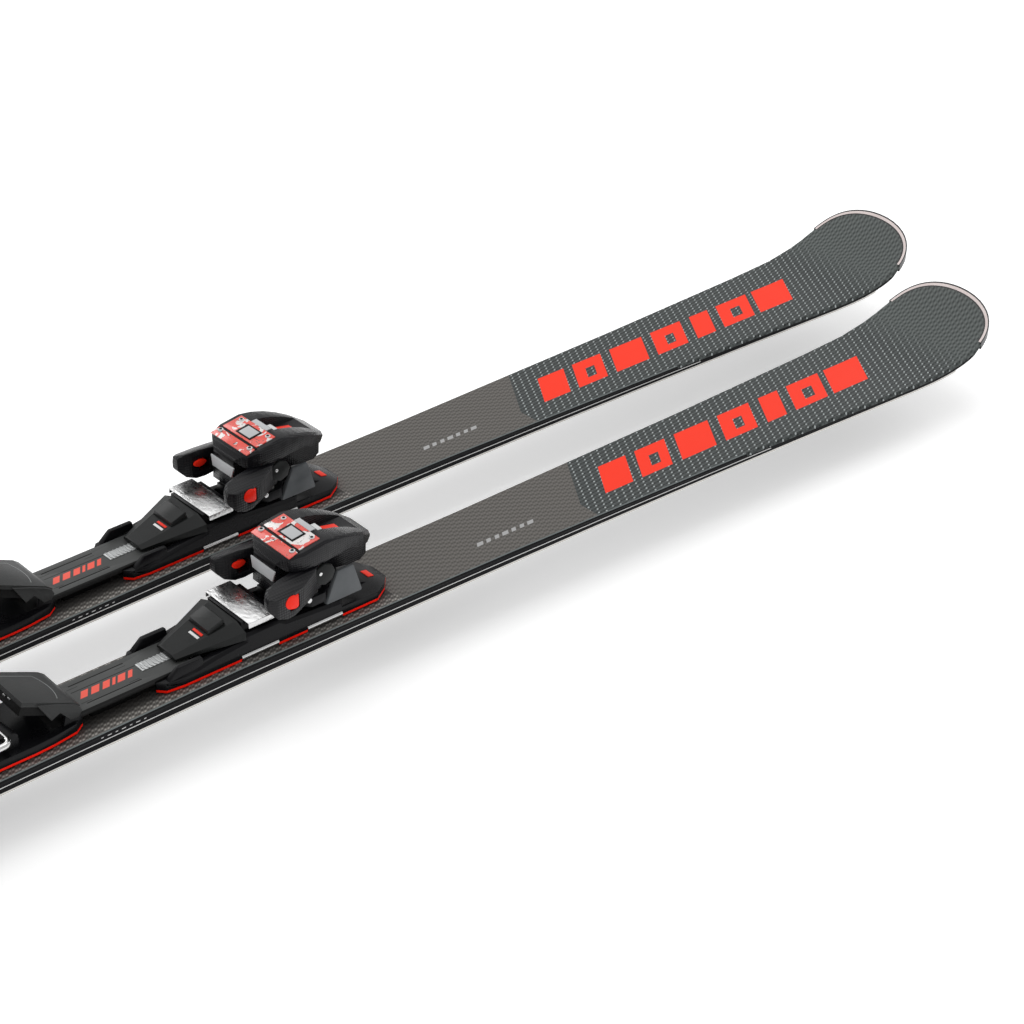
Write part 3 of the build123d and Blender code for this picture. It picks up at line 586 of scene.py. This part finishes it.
def top_sheet_finish(side):
    material, tree, shader = new_material("top_sheet_" + side, (0.1, 0.1, 0.1), 0.42, specular=0.16)
    x, y, z = on_ski(tree, side)
    front, weave = front_field(tree, x, y)
    rear, scale = rear_field(tree, x, y)
    past_corner = math_node(tree, "MAXIMUM", math_node(tree, "ADD", y, FIELD_CORNER), 0.0)
    lean = math_node(tree, "MULTIPLY", past_corner, FIELD_LEAN)
    is_front = math_node(tree, "GREATER_THAN", math_node(tree, "SUBTRACT", x, lean), FIELD_EDGE)
    field = mixed(tree, is_front, rear, front)

    blocks = any_block(tree, x, y, BLOCKS, BLOCK_HALF_HEIGHT, 0.0)
    slits = any_block(tree, x, y, SLITS, SLIT_HALF_HEIGHT, SLIT_LEVEL)
    printed = both(tree, blocks, without(tree, slits))
    dashes = any_block(tree, x, y, DASHES, DASH_HALF_HEIGHT, DASH_LEVEL)
    field = mixed(tree, dashes, field, (0.38, 0.38, 0.38))
    field = mixed(tree, printed, field, (0.96, 0.034, 0.008))

    shoulder = math_node(tree, "GREATER_THAN", facing(tree, "Y"), 0.3)
    high = math_node(tree, "SUBTRACT", z, thickness(tree, x))
    # painted highlight: a light line along the top of the shoulder
    rim = both(tree, math_node(tree, "GREATER_THAN", high, -RIM_HIGHLIGHT_DEPTH),
               math_node(tree, "LESS_THAN", x, RIM_HIGHLIGHT_END))
    shoulder_tone_with_highlight = mixed(tree, rim, BLACK, (0.16, 0.18, 0.18))
    shoulder = both(tree, shoulder, math_node(tree, "LESS_THAN", x, SHOULDER_END))
    tree.links.new(mixed(tree, shoulder, field, shoulder_tone_with_highlight), shader.inputs["Base Color"])

    relief = math_node(tree, "ADD", both(tree, scale, without(tree, is_front)), both(tree, weave, is_front))
    bump(tree, shader, both(tree, relief, without(tree, printed)), 0.00035, 0.8)
    shader.inputs["Coat Weight"].default_value = 0.05
    shader.inputs["Coat Roughness"].default_value = 0.3
    return material


for side in SIDES:
    FINISH["top_sheet " + side] = top_sheet_finish(side)
print("top sheets with", len(BLOCKS), "blocks and", len(DASHES), "dashes")

# %% [markdown]
# ### Tip guard
#
# The guard is black with a light strip a little inside its rim. The tip's outline is a superellipse, so
# the distance from the rim is the outline formula's value divided by its slope, and no drawing is needed.

# %% Tip guard finish
SHOULDER_X = 835.0
TIP_LONG = 74.0
TIP_HALF = 62.2
TIP_POWERS = (4.67, 2.05)
STRIP = (1.3, 3.9)          # distance from the rim, in millimetres


def guard_finish(side):
    material, tree, shader = new_material("end_guards_" + side, (0.8, 0.7, 0.68), 0.2)
    x, y, _ = on_ski(tree, side)
    sheen = use_group(tree, "fine_grain", Size=200.0)
    long = math_node(tree, "DIVIDE", math_node(tree, "SUBTRACT", x, SHOULDER_X), TIP_LONG)
    long = math_node(tree, "MAXIMUM", long, 0.0)
    wide = math_node(tree, "DIVIDE", math_node(tree, "ABSOLUTE", y), TIP_HALF)
    fill, steep = 0.0, 0.0
    for share, power, size in ((long, TIP_POWERS[0], TIP_LONG), (wide, TIP_POWERS[1], TIP_HALF)):
        fill = math_node(tree, "ADD", fill, math_node(tree, "POWER", share, power))
        slope = math_node(tree, "MULTIPLY", math_node(tree, "POWER", share, power - 1), power / size)
        steep = math_node(tree, "ADD", steep, math_node(tree, "POWER", slope, 2.0))
    inwards = math_node(tree, "DIVIDE", without(tree, fill), math_node(tree, "SQRT", steep))
    strip = both(tree, math_node(tree, "GREATER_THAN", inwards, STRIP[0]),
                 math_node(tree, "LESS_THAN", inwards, STRIP[1]))
    at_tail = math_node(tree, "LESS_THAN", x, 0.0)
    flat = math_node(tree, "GREATER_THAN", facing(tree, "Z"), 0.6)
    strip = both(tree, math_node(tree, "MAXIMUM", strip, at_tail), flat)
    face = mixed(tree, sheen.outputs["Tone"], (0.80, 0.72, 0.70), (0.62, 0.52, 0.50))
    tree.links.new(mixed(tree, strip, (0.008, 0.008, 0.009), face), shader.inputs["Base Color"])
    bump(tree, shader, sheen.outputs["Height"], 0.00001)
    return material


for side in SIDES:
    FINISH["end_guards " + side] = guard_finish(side)
print("end guards", [FINISH["end_guards " + side].name for side in SIDES])

# %% [markdown]
# ### Centre band
#
# The band's top is grey with a row of printed blocks between fine dark grooves; its sides are black.
# The grooves are too fine to see as shapes, so they are painted.

# %% Centre band finish
BAND_MARK = [(-119, 3.4), (-109, 3.8), (-99, 3.4), (-92, 1.6), (-85, 3.6), (-77, 2.2)]
BAND_TICKS = [(-123, 5), (-79, 5)]
BAND_TICK_LEVELS = (10.0, -12.0)
BAND_GROOVE = dict(Middle=-97.0, Half_Width=30.0, Level=5.0, Half_Height=0.6, Slant=0.0, Soft=0.2)


def band_finish(side):
    material, tree, shader = new_material("centre_band_" + side, (0.03, 0.03, 0.03), 0.42, specular=0.24)
    x, y, _ = on_ski(tree, side)
    fine = use_group(tree, "fine_grain", Size=900.0)
    top = mixed(tree, fine.outputs["Tone"], (0.050, 0.052, 0.051), (0.068, 0.070, 0.069))
    on_top = math_node(tree, "GREATER_THAN", facing(tree, "Z"), 0.9)
    base = mixed(tree, on_top, (0.006, 0.006, 0.006), top)
    grooves = use_group(tree, "block", Along=x, Across=y, **BAND_GROOVE).outputs[0]
    for level in BAND_TICK_LEVELS:
        grooves = math_node(tree, "MAXIMUM", grooves, any_block(tree, x, y, BAND_TICKS, 0.5, level))
    base = mixed(tree, both(tree, grooves, on_top), base, (0.002, 0.002, 0.002))
    mark = both(tree, any_block(tree, x, y, BAND_MARK, 4.4, -2.0), on_top)
    tree.links.new(mixed(tree, mark, base, (0.85, 0.110, 0.075)), shader.inputs["Base Color"])
    bump(tree, shader, fine.outputs["Height"], 0.00006)
    return material


for side in SIDES:
    FINISH["centre_band " + side] = band_finish(side)
print("centre bands with", len(BAND_MARK), "printed blocks")

# %% [markdown]
# ### Brake pedal
#
# A raised hairline runs along one side of the pedal and bends across its front, as a mould's parting
# line does. The ridge is real relief, and its light colour is a painted highlight along it. The bend is a
# parabola across the pedal.

# %% Brake pedal finish
LINE_SIDE = 19.0
LINE_FRONT = -147.0
LINE_BOW = 0.012            # how far the front line bows back, per square millimetre
LINE_END = -151.3           # the side line stops where the front line meets it
LINE_HALF = 0.35


def pedal_finish(side):
    material, tree, shader = new_material("brake_pedal_" + side, (0.03, 0.03, 0.03), 0.45, specular=0.24)
    x, y, _ = on_ski(tree, side)
    fine = use_group(tree, "fine_grain", Size=800.0)
    base = mixed(tree, fine.outputs["Tone"], (0.020, 0.021, 0.021), (0.032, 0.033, 0.033))
    side_line = both(tree, within(tree, y, LINE_SIDE, LINE_HALF), math_node(tree, "LESS_THAN", x, LINE_END))
    bowed = math_node(tree, "ADD", x, math_node(tree, "MULTIPLY", math_node(
        tree, "POWER", math_node(tree, "ABSOLUTE", y), 2.0), LINE_BOW))
    front_line = both(tree, within(tree, bowed, LINE_FRONT, LINE_HALF), within(tree, y, 0.0, LINE_SIDE))
    # painted highlight: the hairline is coloured light where it faces up
    line = both(tree, math_node(tree, "MAXIMUM", side_line, front_line),
                math_node(tree, "GREATER_THAN", facing(tree, "Z"), 0.6))
    tree.links.new(mixed(tree, line, base, (0.22, 0.23, 0.23)), shader.inputs["Base Color"])
    raised = math_node(tree, "MULTIPLY_ADD", line, 3.0, fine.outputs["Height"])
    bump(tree, shader, raised, 0.0001)
    return material


for side in SIDES:
    FINISH["brake_pedal " + side] = pedal_finish(side)
print("brake pedals", [FINISH["brake_pedal " + side].name for side in SIDES])

# %% [markdown]
# ### Printed cap
#
# An abstract print of red and white blotches with thin dark scratches under a clear coat. Two noises
# with distortion do it: one decides red or white, the other tints the red and draws the scratches.

# %% Printed cap finish
def noise_of(tree, scale, detail, distortion):
    where = tree.nodes.new("ShaderNodeTexCoord")
    node = tree.nodes.new("ShaderNodeTexNoise")
    node.inputs["Scale"].default_value = scale
    node.inputs["Detail"].default_value = detail
    node.inputs["Distortion"].default_value = distortion
    tree.links.new(where.outputs["Object"], node.inputs["Vector"])
    return node.outputs["Fac"]


cap_finish, tree, shader = new_material("printed_cap", (0.8, 0.05, 0.03), 0.25)
blotch = noise_of(tree, 75.0, 4.0, 1.2)
scratch = noise_of(tree, 210.0, 2.0, 2.5)
white = math_node(tree, "GREATER_THAN", blotch, 0.55)
dark = math_node(tree, "GREATER_THAN", scratch, 0.66)
tint = mixed(tree, scratch, (0.72, 0.030, 0.018), (0.80, 0.12, 0.085))
colours = mixed(tree, white, tint, (0.78, 0.74, 0.72))
tree.links.new(mixed(tree, dark, colours, (0.05, 0.04, 0.04)), shader.inputs["Base Color"])
shader.inputs["Coat Weight"].default_value = 0.5
shader.inputs["Coat Roughness"].default_value = 0.1
FINISH["printed_cap"] = cap_finish
print("finish", cap_finish.name)

# %% [markdown]
# ### Hand the finishes out
#
# Each CAD piece keeps its shape and gets its finish in its own material slot. Pieces with a printed
# design have one finish for each ski, because the ruler starts at another place; all others take the
# finish that the record names. The floor gives off a little light, which keeps the shadows pale.

# %% Hand the finishes to the CAD pieces and the floor
slot_of = {entry["node"]: entry["material_slot"] for entry in frame["record"]["subparts"]}


def finish_for(node):
    side, name = node.split("_", 1)
    if name + " " + side in FINISH:
        return FINISH[name + " " + side]
    return FINISH["hood_black" if name == "toe_housing" else slot_of[node]]


for node, piece in nodes.items():
    piece.data.materials.clear()
    piece.data.materials.append(finish_for(node))

floor_finish, _, floor_shader = new_material("floor_white", (0.86, 0.86, 0.86), 0.7)
floor_shader.inputs["Emission Color"].default_value = (1.0, 1.0, 1.0, 1.0)
floor_shader.inputs["Emission Strength"].default_value = 0.42
floor.data.materials.append(floor_finish)
print("finishes handed to", len(nodes), "CAD pieces")

# %% [markdown]
# ## Softened mouldings
#
# A moulded part never has a razor edge: its corners are rounded by a fraction of a millimetre, and that
# thin round is what shows its shape as a line of light. Each moulding's mesh is copied, its loose
# triangles are merged back into flat faces, and a small bevel goes on every sharp edge.

# %% Round the edges of the mouldings
SOFT = {
    "toe_base": 0.7, "ramp_cover": 0.8, "lock_button": 0.5, "toe_housing": 1.0, "wing_left": 1.0,
    "wing_right": 1.0, "roller_left": 0.5, "roller_right": 0.5, "heel_base": 0.7, "heel_housing": 1.2,
    "heel_lever": 1.0, "brake_pedal": 0.9, "centre_band": 0.5, "gliding_plate": 0.35,
}


def softened(node, width):
    """A copy of one CAD moulding with rounded edges, which stands for it."""
    source = nodes[node]
    piece = bpy.data.objects.new(node + "_moulding", source.data.copy())
    bpy.context.scene.collection.objects.link(piece)
    deselect()
    piece.select_set(True)
    bpy.context.view_layer.objects.active = piece
    bpy.ops.object.mode_set(mode="EDIT")
    bpy.ops.mesh.select_all(action="SELECT")
    bpy.ops.mesh.remove_doubles(threshold=0.00001)
    if not node.endswith("ramp_cover"):
        bpy.ops.mesh.dissolve_limited(angle_limit=math.radians(1.5))
    bpy.ops.object.mode_set(mode="OBJECT")
    rounding = piece.modifiers.new("rounding", "BEVEL")
    rounding.width = width / 1000
    rounding.segments = 2
    rounding.limit_method = "ANGLE"
    rounding.angle_limit = math.radians(28)
    rounding.use_clamp_overlap = True
    bpy.ops.object.modifier_apply(modifier="rounding")
    bpy.ops.object.shade_smooth_by_angle(angle=math.radians(35))
    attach(piece, source["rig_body"])
    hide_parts(node)
    return piece


for side in SIDES:
    for name, width in SOFT.items():
        softened(side + "_" + name, width)
print("softened", len(SOFT) * len(SIDES), "mouldings")

# %% [markdown]
# ## Small pieces
#
# The indicators, windows, printed cap and fins are thin mouldings that clip onto the larger ones, so
# they ride the same body. Each one starts as a cube or a disc in edit mode, is stretched, tapered and
# bevelled, and is then set in place on the right ski. The left ski gets its own copy of the mesh.

# %% Tools for small pieces
def begin(name):
    """A new empty mesh in edit mode."""
    deselect()
    piece = bpy.data.objects.new(name, bpy.data.meshes.new(name))
    bpy.context.scene.collection.objects.link(piece)
    piece.select_set(True)
    bpy.context.view_layer.objects.active = piece
    bpy.ops.object.mode_set(mode="EDIT")
    return piece


def place(piece, at, tilt, body, finish, soft):
    """Ends edit mode: bevels, tilts about Y, moves, then makes the left ski's copy."""
    bpy.ops.mesh.select_all(action="SELECT")
    if soft:
        bpy.ops.mesh.bevel(offset=soft / 1000, segments=2, affect="EDGES", clamp_overlap=True)
    bpy.ops.mesh.select_all(action="SELECT")
    bpy.ops.mesh.normals_make_consistent(inside=False)
    bpy.ops.transform.rotate(value=math.radians(-tilt), orient_axis="Y", center_override=(0, 0, 0))
    bpy.ops.transform.translate(value=spot(*at))
    bpy.ops.object.mode_set(mode="OBJECT")
    bpy.ops.object.shade_smooth_by_angle(angle=math.radians(30))
    piece.data.materials.append(FINISH[finish])
    twin = bpy.data.objects.new(piece.name.replace("right", "left", 1), piece.data.copy())
    bpy.context.scene.collection.objects.link(twin)
    twin.data.transform(TO_LEFT)
    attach(piece, "right_" + body)
    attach(twin, "left_" + body)
    return piece, twin


def slab(name, at, size, body, finish, tilt=0.0, soft=0.3, taper=(1.0, 1.0), lean=0.0):
    """A small block: size and place in millimetres, its top face tapered and leaned along X."""
    piece = begin("right_" + name)
    bpy.ops.mesh.primitive_cube_add(size=1)
    bpy.ops.transform.resize(value=[length / 1000 for length in size])
    if taper != (1.0, 1.0) or lean:
        bpy.ops.mesh.select_all(action="DESELECT")
        bpy.ops.object.mode_set(mode="OBJECT")
        for face in piece.data.polygons:
            face.select = face.normal.z > 0.9
        bpy.ops.object.mode_set(mode="EDIT")
        bpy.ops.transform.resize(value=(taper[0], taper[1], 1))
        bpy.ops.transform.translate(value=(lean / 1000, 0, 0))
    return place(piece, at, tilt, body, finish, soft)


def disc(name, at, radius, depth, across, body, finish, sides=24, stretch=(1.0, 1.0), soft=0.3):
    """A round or many-sided piece; across tells the axis it lies along."""
    piece = begin("right_" + name)
    bpy.ops.mesh.primitive_cylinder_add(vertices=sides, radius=radius / 1000, depth=depth / 1000)
    bpy.ops.transform.resize(value=(stretch[0], stretch[1], 1))
    if across == "Y":
        bpy.ops.transform.rotate(value=math.radians(90), orient_axis="X", center_override=(0, 0, 0))
    if across == "X":
        bpy.ops.transform.rotate(value=math.radians(90), orient_axis="Y", center_override=(0, 0, 0))
    return place(piece, at, 0.0, body, finish, soft)


print("piece tools: slab and disc")

# %% [markdown]
# ### The cap on the toe housing
#
# Two thin plates with a dark groove between them follow the slope of the housing's top. A framed window
# lies in the front one, a light bridge joins it to the mouth, and four plain studs stand at the corners.

# %% Printed cap and its indicators
slab("cap_rear", (67.0, 0, 89.2), (9.4, 53, 1.2), "toe_unit", "printed_cap", tilt=-14.6, soft=0.3)
slab("cap_front", (84.4, 0, 92.3), (20.6, 50, 1.2), "toe_unit", "printed_cap", tilt=-7.9, soft=0.3)
slab("cap_groove", (72.6, 0, 90.7), (2.0, 54, 0.9), "toe_unit", "groove_black", tilt=-8, soft=0.1)
slab("cap_frame", (83.4, -1.5, 92.9), (14.0, 21, 0.6), "toe_unit", "groove_black", tilt=-7.9, soft=0.15)
slab("cap_window", (83.2, -2.0, 93.2), (11.0, 16, 0.6), "toe_unit", "window_grey", tilt=-7.9, soft=0.15)
slab("cap_bridge", (97.6, 0, 93.9), (5.6, 22, 1.0), "toe_unit", "window_grey", tilt=-2, soft=0.3)
slab("white_indicator", (107.5, 0, 83.4), (7.0, 11, 9.0), "toe_unit", "indicator_white", soft=0.6)
slab("red_indicator", (121.0, -1.5, 81.0), (15.0, 9, 4.0), "toe_unit", "mark_red", tilt=12, soft=0.6)
for sign in (-1, 1):
    ring = "left" if sign > 0 else "right"
    disc("cap_rivet_" + ring, (69.5, sign * 21.5, 90.6), 2.6, 1.6, "Z", "toe_unit", "indicator_white")
    disc("cap_rivet_eye_" + ring, (69.5, sign * 21.5, 91.0), 1.4, 1.6, "Z", "toe_unit", "groove_black")
    disc("cap_stud_" + ring, (90.5, sign * 19.5, 93.6), 2.4, 1.6, "Z", "toe_unit", "indicator_white")
    disc("cap_stud_eye_" + ring, (90.5, sign * 19.5, 94.0), 1.3, 1.6, "Z", "toe_unit", "groove_black")

print("cap: 2 plates, window, bridge, 2 indicators, 4 studs")

# %% [markdown]
# ### Windows and marks
#
# A light window sits at the back of the housing above a black chin, a red one in the nose, and two plain
# bars cross the ramp. All are slabs, tilted to lie on the slopes that carry them.

# %% Windows and marks of the toe unit
slab("rear_window", (54.7, 0, 69.0), (1.6, 28, 10.0), "toe_unit", "window_grey", tilt=4.8, soft=0.5,
     taper=(1.0, 1.22))
slab("chin", (57.5, 0, 77.0), (3.0, 30, 4.5), "toe_unit", "binding_black", tilt=20, soft=0.8)
slab("nose_window", (157.2, -1.5, 22.2), (6.4, 11, 1.0), "toe_unit", "mark_red", tilt=12, soft=0.3)
slab("ramp_mark_red", (-13.6, -4, 39.2), (2.3, 13, 0.5), "toe_unit", "mark_red", tilt=-14.7, soft=0.1)
slab("ramp_mark_white", (-17.4, -4, 38.2), (2.3, 13, 0.5), "toe_unit", "mark_white", tilt=-14.7, soft=0.1)
print("toe unit: 2 windows, chin and 2 bars")

# %% [markdown]
# ### The ribbed window
#
# A thin strip with slanted ribs across it. The strip and its ribs are cubes added to one mesh in edit
# mode, so that the whole window is one piece; the ribs are real shapes and catch the light as such.

# %% Ribbed window in the centre band
RIBS = 8
RIB_STEP = 3.7              # mm
strip = begin("right_ribbed_strip")
bpy.ops.mesh.primitive_cube_add(size=1)
bpy.ops.transform.resize(value=(0.031, 0.0112, 0.0008))
for number in range(RIBS):
    bpy.ops.mesh.select_all(action="DESELECT")
    bpy.ops.mesh.primitive_cube_add(size=1, rotation=(0, 0, math.radians(-14)))
    bpy.ops.transform.resize(value=(0.0016, 0.0100, 0.0012))
    bpy.ops.transform.translate(value=(RIB_STEP * (number - (RIBS - 1) / 2) / 1000, 0, 0.0005))
place(strip, (-52.5, 0, 26.8), 0.0, "ski", "ribbed_window", 0.2)
print("ribbed window with", RIBS, "ribs")

# %% [markdown]
# ### Fins and wing plates
#
# Low black fins stand beside the ramp and satin ones beside the nose; a tapered and leaned slab comes
# close to such a blade. Each wing carries an eight-sided plate and two pins, and they swing with it.

# %% Fins of the toe unit and plates of its wings
for sign in (-1, 1):
    way = "left" if sign > 0 else "right"
    slab("rear_fin_" + way, (-42, sign * 26.2, 28.4), (34, 6.5, 10), "toe_unit", "binding_black", soft=0.9,
         taper=(0.66, 0.7), lean=5)
    slab("side_fin_" + way, (113.5, sign * 25.6, 44.2), (38, 8, 27), "toe_unit", "satin_grey", soft=2.2,
         taper=(0.44, 0.45), lean=4)
    disc("pivot_plate_" + way, (92.5, sign * 31.4, 64), 10.5, 3.2, "Y", way + "_wing", "cover_grey", sides=8,
         stretch=(1.0, 0.95), soft=0.7)
    disc("pivot_pin_" + way, (88, sign * 33.0, 66.5), 1.6, 1.6, "Y", way + "_wing", "rod_steel", soft=0.2)
    disc("hinge_pin_" + way, (72.5, sign * 37.5, 49.8), 2.2, 2.4, "Y", way + "_wing", "rod_steel", soft=0.3)

print("toe unit: 4 fins, 2 wing plates, 4 pins")

# %% [markdown]
# ### Roller faces and the pedal's underside
#
# Each wing's roller shows a rounded red face outside and inside. Under the pedal a web fills the hollow,
# and a dark pad on the sheet closes the gap ahead of the heel unit. The web rides the pedal and is short
# enough to clear the deck when the brake is folded.

# %% Faces of the rollers, and what lies under the pedal
for sign in (-1, 1):
    way = "left" if sign > 0 else "right"
    disc("roller_face_" + way, (50.8, sign * 44.6, 61.2), 6.4, 2.6, "Y", way + "_wing", "roller_red", soft=0.9,
         stretch=(1.0, 0.98))
    disc("roller_back_" + way, (50.0, sign * 28.6, 61.8), 6.4, 2.4, "Y", way + "_wing", "roller_red", soft=0.9,
         stretch=(1.0, 0.52))
slab("sheet_pad", (-152, 0, 14.0), (34, 42, 1.6), "ski", "groove_black", soft=0.2)
slab("pedal_web", (-172.4, 0, 47.6), (27, 44, 11), "brake_pedal", "groove_black", tilt=24.6, soft=0.8)
for number, (x, y, z) in enumerate(((-184.6, -6.5, 55.6), (-184.2, 1.5, 54.4))):
    disc("pedal_stud_%d" % number, (x, y, z), 1.7, 1.6, "X", "brake_pedal", "rod_steel", sides=12, soft=0.3)

print("roller faces, sheet pad, pedal web and studs")
